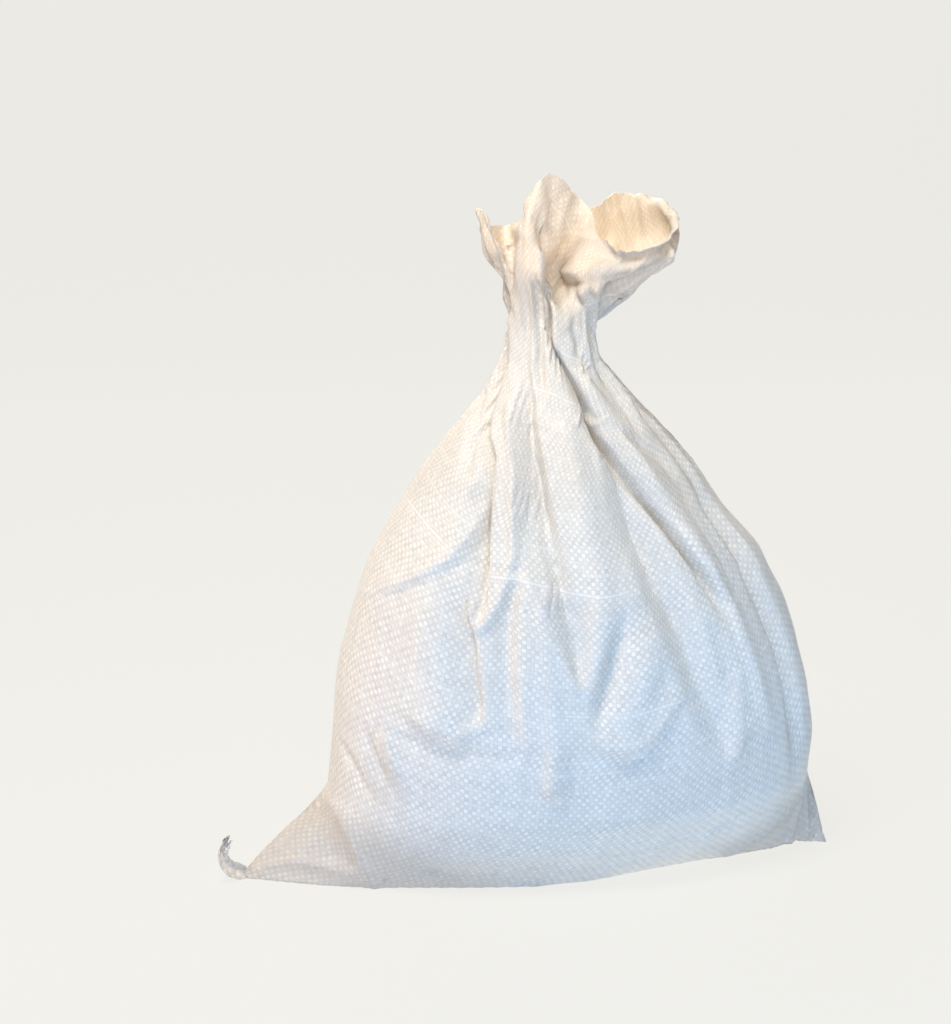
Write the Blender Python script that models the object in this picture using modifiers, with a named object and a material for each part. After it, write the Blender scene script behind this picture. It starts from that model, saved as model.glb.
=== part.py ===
"""A filled rubble sack, standing on its sewn bottom with its neck gathered.

The sack is one tube of woven polypropylene, laid flat 500 mm wide and 750 mm long. Its bottom is
sewn straight across, so the two bottom corners stand out from the filled body as flat ears. Its
mouth flares open above the gathered neck. The fill is one mound of rubble inside it.

Metres, +Z up. The sack stands on z = 0, +X runs along the bottom seam and -Y is the front. A place
round the sack is a turn in degrees: 0 is the right-hand side, 90 the front, 180 the left, 270 the back.
"""

import bmesh
import bpy
import numpy as np

# Sizes of the cloth
CLOTH_WALL = 0.0012

# The filled body: each station is its height, half its width, half its depth, and its middle in x and y
BODY_STATIONS = (
    (0.065, 0.200, 0.107, 0.003, -0.004),
    (0.100, 0.198, 0.110, 0.005, -0.004),
    (0.140, 0.193, 0.110, 0.004, -0.003),
    (0.180, 0.185, 0.108, 0.003, -0.001),
    (0.215, 0.174, 0.104, 0.001, 0.001),
    (0.250, 0.159, 0.097, -0.002, 0.002),
    (0.285, 0.134, 0.087, -0.007, 0.003),
    (0.320, 0.111, 0.075, -0.008, 0.003),
    (0.350, 0.087, 0.062, -0.009, 0.003),
    (0.380, 0.061, 0.048, -0.009, 0.002),
    (0.405, 0.044, 0.037, -0.013, 0.001),
    (0.430, 0.038, 0.031, -0.014, 0.000),
)
BODY_SQUARENESS = 2.25
FOOT_HEIGHT = 0.065
EAR_TIP_HEIGHT = 0.004

# The bottom seam on the ground, from its left end to its right, and how far the cloth lies in front of
# it and behind it, at each share of its length. Its right end is turned forwards.
SEAM_ROUTE = ((-0.270, -0.004), (-0.150, 0.002), (0.100, 0.002), (0.185, -0.016), (0.213, -0.042))
FOOT_REACH = (
    (0.00, 0.000, 0.000), (0.12, 0.034, 0.028), (0.20, 0.052, 0.045), (0.36, 0.072, 0.066),
    (0.45, 0.081, 0.072), (0.55, 0.079, 0.073), (0.64, 0.068, 0.070), (0.76, 0.056, 0.058),
    (0.88, 0.034, 0.036), (0.95, 0.012, 0.014), (1.00, 0.000, 0.000),
)

# Folds that run down from the neck, and the rolls between them. Each has its route as (height, turn,
# depth in mm, less than 0 for a roll), and how far it spreads in mm to its right and to its left.
FOLDS = (
    {"route": ((0.430, 176, 16), (0.385, 163, 20), (0.357, 149, 18), (0.335, 134, 12),
               (0.308, 126, 0)), "spread": (8, 9)},
    {"route": ((0.325, 130, 3), (0.308, 129, 13), (0.283, 126, 18), (0.258, 124, 16),
               (0.238, 124, 10), (0.226, 124, 4)), "spread": (8, 22)},
    {"route": ((0.262, 134, 3), (0.235, 129, 8), (0.177, 123, 10), (0.151, 122, 7), (0.141, 121, 2)),
     "spread": (4, 21)},
    {"route": ((0.248, 141, -3), (0.157, 130, -6)), "spread": (24, 28)},
    {"route": ((0.244, 114, 3), (0.223, 116, 7), (0.166, 115, 7), (0.138, 114, 4), (0.124, 113, 0)),
     "spread": (13, 12)},
    {"route": ((0.430, 137, 5), (0.400, 133, 6), (0.358, 118, 8), (0.323, 110, 11),
               (0.287, 105, 11), (0.256, 102, 6), (0.236, 100, 0)), "spread": (11, 24)},
    {"route": ((0.280, 107, 0), (0.248, 103, 10), (0.221, 101, 12), (0.195, 99, 11),
               (0.173, 98, 6), (0.166, 97, 1)), "spread": (24, 9)},
    {"route": ((0.430, 120, 6), (0.415, 119, 7), (0.372, 113, 0)), "spread": (8, 8)},
    {"route": ((0.430, 74, 5), (0.384, 61, 7), (0.371, 58, 5), (0.357, 57, 0)), "spread": (9, 8)},
    {"route": ((0.358, 97, -4), (0.271, 90, -5), (0.171, 96, -4)), "spread": (18, 14)},
    {"route": ((0.220, 85, 2), (0.196, 88, 8), (0.170, 91, 10), (0.146, 93, 8), (0.130, 94, 2)),
     "spread": (9, 14)},
    {"route": ((0.361, 75, 6), (0.306, 73, 14), (0.242, 71, 16), (0.130, 63, 8), (0.105, 61, 3)),
     "spread": (14, 22)},
    {"route": ((0.430, 106, 11), (0.418, 102, 11), (0.401, 90, 13), (0.366, 78, 20),
               (0.283, 61, 16), (0.218, 54, 7), (0.203, 54, 2)), "spread": (6, 11)},
    {"route": ((0.409, 74, -3), (0.270, 55, -6), (0.124, 49, -5)), "spread": (16, 6)},
    {"route": ((0.358, 69, 3), (0.345, 57, 7), (0.330, 47, 8), (0.309, 44, 5), (0.293, 46, 0)),
     "spread": (12, 9)},
    {"route": ((0.430, 27, 27), (0.380, 25, 17), (0.345, 27, 9), (0.304, 28, 6), (0.284, 29, 11),
               (0.227, 33, 16), (0.157, 32, 16), (0.088, 33, 8), (0.055, 34, 2)), "spread": (8, 17)},
    {"route": ((0.430, 48, 12), (0.380, 49, 9), (0.343, 50, 0)), "spread": (14, 12)},
    {"route": ((0.430, 8, 27), (0.330, 12, 10), (0.285, 13, 0)), "spread": (14, 12)},
    {"route": ((0.142, 159, 1), (0.123, 154, 5), (0.102, 149, 6), (0.084, 142, 1)), "spread": (7, 8)},
    {"route": ((0.430, 192, 27), (0.190, 204, 0)), "spread": (12, 14)},
    {"route": ((0.430, 215, 27), (0.200, 226, 9), (0.130, 228, 0)), "spread": (16, 9)},
    {"route": ((0.430, 238, 27), (0.290, 240, 12), (0.240, 241, 0)), "spread": (10, 14)},
    {"route": ((0.430, 261, 27), (0.260, 257, 14), (0.180, 258, 8), (0.110, 259, 0)),
     "spread": (9, 16)},
    {"route": ((0.430, 284, 27), (0.300, 277, 12), (0.250, 275, 0)), "spread": (12, 10)},
    {"route": ((0.430, 307, 27), (0.260, 297, 14), (0.190, 296, 8), (0.140, 296, 0)),
     "spread": (14, 9)},
    {"route": ((0.430, 331, 27), (0.210, 320, 6), (0.165, 319, 0)), "spread": (10, 14)},
    {"route": ((0.430, 351, 27), (0.370, 350, 16), (0.310, 348, 10), (0.250, 347, 0)),
     "spread": (12, 12)},
)
FOLD_SPREAD_LIMIT = 14.0     # degrees
FOLD_SPREAD_FLOOR = 8.5      # degrees
FOLD_DEEPEST = 0.42          # share of the body's radius
WALL_SLOPE = 1.1             # length of the wall's slope for each unit of height

# The open mouth at each turn: where the cloth bulges or dips above the neck, and where its rim is, both as
# x, y, z in mm. At the right it spreads into a cup as soon as it leaves the neck.
MOUTH_SHAPE = (
    (0, 85, -10, 498, 75, -4, 520), (9, 82, -23, 496, 77, -17, 512), (19, 73, -36, 488, 72, -30, 503),
    (29, 60, -45, 482, 64, -38, 495), (38, 45, -49, 477, 51, -43, 488),
    (47, 32, -49, 475, 39, -43, 485), (56, 20, -45, 473, 29, -41, 483),
    (65, 10, -40, 470, 23, -39, 486), (76, 2, -31, 467, 19, -33, 491), (90, -1, -9, 478, 15, -24, 498),
    (101, -3, 10, 472, 14, -15, 508), (111, -12, 6, 474, 14, -4, 519), (119, -24, -17, 483, 5, -4, 533),
    (129, -31, -23, 490, -9, -11, 544), (137, -38, -21, 489, -22, -15, 550),
    (143, -44, -18, 488, -29, -15, 545), (154, -50, -13, 486, -38, -8, 514),
    (159, -49, -5, 482, -37, 10, 509), (165, -47, 6, 481, -46, 23, 507),
    (171, -57, -3, 486, -63, 8, 508), (176, -60, 5, 485, -68, 9, 521),
    (180, -61, 14, 482, -72, 15, 522), (190, -60, 15, 481, -68, 19, 509),
    (201, -51, 19, 479, -64, 26, 503), (207, -45, 24, 476, -56, 33, 500),
    (217, -34, 12, 468, -43, 16, 492), (226, -35, 27, 473, -44, 38, 497),
    (231, -30, 30, 474, -37, 42, 498), (243, -21, 13, 466, -26, 18, 490),
    (254, -19, 33, 475, -24, 46, 499), (258, -13, 35, 476, -16, 48, 500),
    (271, -5, 16, 471, -6, 22, 495), (282, 2, 34, 479, 2, 47, 503), (289, 10, 33, 484, 12, 46, 508),
    (298, 24, 22, 488, 22, 20, 518), (311, 36, 25, 490, 33, 24, 525), (325, 49, 21, 492, 43, 19, 532),
    (337, 62, 14, 494, 57, 14, 528), (348, 76, 4, 496, 68, 6, 523),
)
MOUTH_RINGS = (2, 3, 3)      # from the neck to the throat, to the bulge, to the rim
THROAT_HEIGHT = 0.45         # share of the way from the neck to the bulge
THROAT_FLARE = (0.15, 0.50)  # how much of the bulge's spread the throat has, at the petal and at the cup

# How finely the cloth is drawn
TURN_COUNT = 96
WALL_HEIGHTS = (0.010, 0.030, 0.065, 0.100, 0.125, 0.150, 0.172, 0.192, 0.208, 0.222, 0.236, 0.250, 0.264,
                0.278, 0.292, 0.306, 0.320, 0.334, 0.348, 0.362, 0.376, 0.392, 0.410, 0.430)

# The fill: a mound that lies just inside the cloth up to its shoulder
FILL_GAP = 0.0003
FILL_TOP = 0.285
FILL_SHOULDER = 0.190
FILL_FIT = 0.955
FILL_FOOT_INSET = 0.42

CLOTH_COLOUR = (0.86, 0.85, 0.82, 1.0)
FILL_COLOUR = (0.40, 0.36, 0.31, 1.0)


def clear_scene():
    for old in list(bpy.data.objects):
        bpy.data.objects.remove(old, do_unlink=True)


def make_material(name, colour, roughness):
    material = bpy.data.materials.new(name)
    material.use_nodes = True
    shader = material.node_tree.nodes["Principled BSDF"]
    shader.inputs["Base Color"].default_value = colour
    shader.inputs["Roughness"].default_value = roughness
    shader.inputs["Metallic"].default_value = 0.0
    return material


def ease(low, high, value):
    """0 at low and 1 at high, with a soft start and end."""
    share = np.clip((value - low) / (high - low), 0.0, 1.0)
    return share * share * (3.0 - 2.0 * share)


def station(height):
    """Half width, half depth and middle of the body at a height."""
    table = np.array(BODY_STATIONS)
    return [float(np.interp(height, table[:, 0], table[:, k])) for k in range(1, 5)]


def fold_depth(height, turns, metres_per_degree):
    """How far the folds pull the cloth in at each turn, in metres."""
    total = np.zeros_like(turns)
    for fold in FOLDS:
        route = np.array(fold["route"])
        reach = max(fold["spread"]) / 1000
        if not route[-1, 0] - reach < height < route[0, 0] + reach:
            continue
        nearest = route[np.argmin(np.abs(route[:, 0] - height)), 1]
        scale = np.interp(nearest, turns, metres_per_degree)
        # the body unrolled: across it to the right, and up its slope
        places = np.stack([-route[:, 1] * scale, route[:, 0] * WALL_SLOPE], axis=1)
        across = -((turns - nearest + 180.0) % 360.0 - 180.0 + nearest) * scale
        closest = np.full(len(turns), np.inf)
        depth, side = np.zeros_like(turns), np.zeros_like(turns)
        for start, end, start_depth, end_depth in zip(places, places[1:], route[:, 2], route[1:, 2]):
            step = end - start
            dx, dy = across - start[0], height * WALL_SLOPE - start[1]
            share = np.clip((dx * step[0] + dy * step[1]) / (step @ step), 0.0, 1.0)
            apart = np.hypot(dx - share * step[0], dy - share * step[1])
            better = apart < closest
            depth = np.where(better, start_depth + share * (end_depth - start_depth), depth)
            side = np.where(better, (step[0] * dy - step[1] * dx) / np.hypot(*step), side)
            closest = np.minimum(apart, closest)
        right, left = [max(FOLD_SPREAD_FLOOR * scale, min(s / 1000, FOLD_SPREAD_LIMIT * scale))
                       for s in fold["spread"]]
        hand = np.clip(side / (closest + 1e-6) * 1.3, -1.0, 1.0)
        away = closest / ((right + left) / 2 + (right - left) / 2 * hand)
        total += depth / 1000 * np.clip(1.0 - away ** 2, 0.0, None) ** 2
    return total


def body_ring(height, turns, folded=True):
    """Points of the body's outline at a height above the foot."""
    half_width, half_depth, middle_x, middle_y = station(height)
    angles = np.radians(turns)
    across, along = np.cos(angles), np.sin(angles)
    power = BODY_SQUARENESS + (2.0 - BODY_SQUARENESS) * ease(0.10, 0.30, height)
    radius = (np.abs(across) ** power + np.abs(along) ** power) ** (-1.0 / power)
    spokes = np.stack([half_width * radius * across, -half_depth * radius * along], axis=1)
    if folded:
        reach = np.linalg.norm(spokes, axis=1)
        steps = np.linalg.norm(np.roll(spokes, -1, axis=0) - spokes, axis=1)
        pulled = np.minimum(fold_depth(height, turns, steps * TURN_COUNT / 360.0), FOLD_DEEPEST * reach)
        spokes *= (1.0 - pulled / reach)[:, None]
    points = np.empty((len(turns), 3))
    points[:, 0] = middle_x + spokes[:, 0]
    points[:, 1] = middle_y + spokes[:, 1]
    points[:, 2] = height
    return points


def seam_shares(turns):
    """How far along the bottom seam each turn's cloth is caught, from 0 at the left to 1 at the right."""
    return np.abs(turns % 360.0 - 180.0) / 180.0


def foot_ring(turns):
    """Points round the edge of the cloth that lies on the ground."""
    route = np.array(SEAM_ROUTE)
    runs = np.concatenate([[0.0], np.cumsum(np.linalg.norm(np.diff(route, axis=0), axis=1))])
    reach = np.array(FOOT_REACH)
    shares = seam_shares(turns)
    in_front = turns % 360.0 < 180.0
    points = np.zeros((len(turns), 3))
    points[:, 0] = np.interp(shares * runs[-1], runs, route[:, 0])
    points[:, 1] = np.interp(shares * runs[-1], runs, route[:, 1])
    points[:, 1] += np.where(in_front, -np.interp(shares, reach[:, 0], reach[:, 1]),
                             np.interp(shares, reach[:, 0], reach[:, 2]))
    return points


def lower_ring(height, turns):
    """Points between the foot's edge and the body, with the ears tapering up from the two corners."""
    share = height / FOOT_HEIGHT
    foot = foot_ring(turns)
    body = body_ring(FOOT_HEIGHT, turns)
    corner = np.abs(np.cos(np.radians(turns))) ** 12
    swell = (share ** 0.45) * (1.0 - corner) + (share ** 1.25) * corner
    points = foot + (body - foot) * swell[:, None]
    points[:, 2] = height * (1.0 - corner) + np.maximum(height, EAR_TIP_HEIGHT) * corner
    return points


def mouth_places(turns):
    """Points of the mouth's bulge and of its rim at each turn."""
    table = np.array(MOUTH_SHAPE)
    at = np.concatenate([table[:, 0] - 360.0, table[:, 0], table[:, 0] + 360.0])
    columns = [np.interp(turns, at, np.tile(table[:, k], 3)) / 1000 for k in range(1, 7)]
    return np.stack(columns[:3], axis=1), np.stack(columns[3:], axis=1)


def mouth_rings(neck, turns):
    """Rings from above the neck to the rim, as smooth curves through throat, bulge and rim."""
    bulge, rim = mouth_places(turns)
    cup = np.clip(np.cos(np.radians(turns)), 0.0, None)
    flare = THROAT_FLARE[0] + (THROAT_FLARE[1] - THROAT_FLARE[0]) * cup
    throat = neck + (bulge - neck) * np.stack([flare, flare, np.full(len(turns), THROAT_HEIGHT)], axis=1)
    upright = np.array((0.0, 0.0, throat[:, 2].mean() - neck[0, 2]))
    stops = [neck, throat, bulge, rim]
    slopes = [upright, (bulge - neck) / 2, (rim - throat) / 2, rim - bulge]
    rings = []
    for step in range(3):
        start, end = stops[step], stops[step + 1]
        for share in np.linspace(0.0, 1.0, MOUTH_RINGS[step] + 1)[1:]:
            square, cube = share ** 2, share ** 3
            rings.append(start * (2 * cube - 3 * square + 1) + slopes[step] * (cube - 2 * square + share)
                         + end * (3 * square - 2 * cube) + slopes[step + 1] * (cube - square))
    return rings


def cloth_rings(turns):
    """Every ring of the sack, from the foot's edge up to the rim of its mouth."""
    rings = [foot_ring(turns)]
    for height in WALL_HEIGHTS:
        rings.append(lower_ring(height, turns) if height < FOOT_HEIGHT else body_ring(height, turns))
    return rings + mouth_rings(rings[-1], turns)


def loft(mesh_name, rings, close_bottom, close_top):
    """A mesh skinned over rings of equal length, with its ends left open or closed by one face."""
    work = bmesh.new()
    rows = [[work.verts.new(point) for point in ring] for ring in rings]
    count = len(rows[0])
    for lower, upper in zip(rows, rows[1:]):
        for i in range(count):
            k = (i + 1) % count
            work.faces.new((lower[i], upper[i], upper[k], lower[k]))
    if close_bottom:
        work.faces.new(rows[0])
    if close_top:
        work.faces.new(list(reversed(rows[-1])))
    bmesh.ops.triangulate(work, faces=[f for f in work.faces if len(f.verts) > 4])
    bmesh.ops.recalc_face_normals(work, faces=work.faces)
    mesh = bpy.data.meshes.new(mesh_name)
    work.to_mesh(mesh)
    work.free()
    return mesh


def add_object(name, mesh, material, collection):
    made = bpy.data.objects.new(name, mesh)
    made.data.materials.append(material)
    made.data.shade_smooth()
    collection.objects.link(made)
    return made


def make_sack(collection):
    """The woven cloth, as an open surface given its wall inwards."""
    turns = np.arange(TURN_COUNT) * 360.0 / TURN_COUNT
    mesh = loft("sack", cloth_rings(turns), close_bottom=True, close_top=False)
    sack = add_object("sack", mesh, make_material("woven_cloth", CLOTH_COLOUR, 0.45), collection)
    wall = sack.modifiers.new("cloth wall", "SOLIDIFY")
    wall.thickness = CLOTH_WALL
    wall.offset = -1.0
    return sack


def make_fill(collection):
    """The rubble: it follows the cloth just inside its wall up to the shoulder, and domes over above."""
    turns = np.arange(TURN_COUNT) * 360.0 / TURN_COUNT
    base = CLOTH_WALL + FILL_GAP
    levels = [base, 0.020, 0.042] + [h for h in WALL_HEIGHTS if FOOT_HEIGHT <= h < FILL_TOP] + [FILL_TOP]
    rings = []
    for height in levels:
        wall = body_ring(max(height, FOOT_HEIGHT), turns)
        middle = (wall.min(axis=0) + wall.max(axis=0)) / 2
        foot = 1.0 - FILL_FOOT_INSET * (1.0 - ease(-0.010, FOOT_HEIGHT, height))
        dome = np.sqrt(1.0 - (0.96 * max(0.0, height - FILL_SHOULDER) / (FILL_TOP - FILL_SHOULDER)) ** 2)
        ring = middle + (wall - middle) * FILL_FIT * foot * dome
        ring[:, 2] = height
        rings.append(ring)
    mesh = loft("fill", rings, close_bottom=True, close_top=True)
    return add_object("fill", mesh, make_material("rubble", FILL_COLOUR, 0.9), collection)


def build():
    clear_scene()
    collection = bpy.data.collections.new("rubble_sack")
    bpy.context.scene.collection.children.link(collection)
    make_sack(collection)
    make_fill(collection)


build()
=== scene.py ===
# Rubble sack: a filled bag of woven white polypropylene, gathered at the neck.
# Lengths are in metres unless a note says mm. A place round the sack is a turn in degrees: 0 is its right,
# 90 its front, 180 its left and 270 its back.

import math
from functools import partial

import bmesh
import bpy
import numpy as np
from mathutils.bvhtree import BVHTree
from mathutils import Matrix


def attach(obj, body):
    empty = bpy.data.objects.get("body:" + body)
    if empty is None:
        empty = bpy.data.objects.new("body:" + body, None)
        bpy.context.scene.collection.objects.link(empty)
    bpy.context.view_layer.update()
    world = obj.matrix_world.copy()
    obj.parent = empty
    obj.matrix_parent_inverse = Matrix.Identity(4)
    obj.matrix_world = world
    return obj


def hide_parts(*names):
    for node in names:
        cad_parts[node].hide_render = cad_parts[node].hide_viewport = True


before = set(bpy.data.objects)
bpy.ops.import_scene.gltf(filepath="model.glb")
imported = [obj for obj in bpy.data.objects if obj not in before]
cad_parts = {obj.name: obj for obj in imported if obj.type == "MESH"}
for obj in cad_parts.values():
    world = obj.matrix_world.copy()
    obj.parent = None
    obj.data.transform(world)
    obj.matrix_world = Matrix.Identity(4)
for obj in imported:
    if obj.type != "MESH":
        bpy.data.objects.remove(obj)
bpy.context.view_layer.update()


# Small helpers

def softStep(low, high, value):
    share = np.clip((value - low) / (high - low), 0.0, 1.0)
    return share * share * (3.0 - 2.0 * share)


def linearColour(hexColour, alpha=1.0):
    # sRGB hex to the linear values that Blender's sockets take
    parts = [int(hexColour[i:i + 2], 16) / 255 for i in (1, 3, 5)]
    linear = [p / 12.92 if p <= 0.04045 else ((p + 0.055) / 1.055) ** 2.4 for p in parts]
    return (*linear, alpha)


def addNode(tree, kind, settings=None, links=None):
    # one node, with its settings by attribute or socket name and its links as socket: (node, output)
    node = tree.nodes.new("ShaderNode" + kind)
    for key, value in (settings or {}).items():
        if isinstance(key, str) and hasattr(node, key):
            setattr(node, key, value)
        else:
            node.inputs[key].default_value = value
    for key, (source, output) in (links or {}).items():
        tree.links.new(source.outputs[output], node.inputs[key])
    return node


# Camera: a little above the sack and to its front left, as the photograph was taken

view = {
    "azimuth": -14.0,
    "elevation": 12.0,
    "distance": 1.70,
    "height": 0.282,         # what the middle of the picture looks at
    "moveLeft": 0.074,       # the sack stands right of the picture's middle
    "fieldOfView": 27.0,     # from the picture's top to its bottom
    "picture": (951, 1024),  # the photograph's width and height in pixels
}


def viewAxes():
    # the directions to the camera, to the picture's right and up the picture
    turn, tilt = math.radians(view["azimuth"]), math.radians(view["elevation"])
    back = np.array((math.sin(turn) * math.cos(tilt), -math.cos(turn) * math.cos(tilt), math.sin(tilt)))
    right = np.array((math.cos(turn), math.sin(turn), 0.0))
    return back, right, np.cross(back, right)


def makeCamera():
    back, right, _ = viewAxes()
    place = np.array((0.0, 0.0, view["height"])) + back * view["distance"] - right * view["moveLeft"]
    data = bpy.data.cameras.new("studioCamera")
    data.sensor_fit = "VERTICAL"
    data.angle_y = math.radians(view["fieldOfView"])
    camera = bpy.data.objects.new("studioCamera", data)
    camera.location = place
    camera.rotation_euler = (math.radians(90.0) - math.radians(view["elevation"]), 0.0,
                             math.radians(view["azimuth"]))
    bpy.context.scene.collection.objects.link(camera)
    bpy.context.scene.camera = camera
    return place


def sightLine(x, y):
    # the direction in which the camera sees a pixel of the photograph
    back, right, up = viewAxes()
    width, height = view["picture"]
    focus = height / 2 / math.tan(math.radians(view["fieldOfView"]) / 2)
    direction = right * (x - width / 2) - up * (y - height / 2) - back * focus
    return direction / np.linalg.norm(direction)


cameraPlace = makeCamera()
print("camera placed")


# The cloth's shape

# the filled body, up to the neck, in mm: height, half width, half depth, middle in x and in y
bodyStations = np.array((
    (0, 196, 78, 2, -2), (12, 198, 94, 2, -3), (30, 199, 103, 3, -4), (65, 200, 107, 3, -4),
    (100, 198, 110, 5, -4), (140, 193, 110, 4, -3), (180, 185, 108, 3, -1), (215, 174, 104, 1, 1),
    (250, 159, 97, -2, 2), (285, 134, 87, -7, 3), (320, 111, 75, -8, 3), (350, 87, 62, -9, 3),
    (380, 61, 48, -9, 2), (405, 44, 37, -13, 1), (430, 38, 31, -14, 0),
)) / 1000
neckHeight = 0.430
footHeight = 0.065
squareness = (2.25, 2.0)       # of the body's outline, low down and from the shoulder up; 2 is an ellipse
wallSlope = 1.1                # length of the wall for each metre of its height

# the bottom seam on the ground from its left end to its right
seamRoute = np.array(((-0.270, -0.004), (-0.150, 0.002), (0.100, 0.002), (0.185, -0.016), (0.213, -0.042)))
# for a share of the seam's length, how far the cloth's foot lies before and behind it
footReach = np.array((
    (0.00, 0.000, 0.000), (0.12, 0.034, 0.028), (0.20, 0.052, 0.045), (0.36, 0.072, 0.066),
    (0.45, 0.081, 0.072), (0.55, 0.079, 0.073), (0.64, 0.068, 0.070), (0.76, 0.056, 0.058),
    (0.88, 0.034, 0.036), (0.95, 0.012, 0.014), (1.00, 0.000, 0.000),
))

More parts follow.
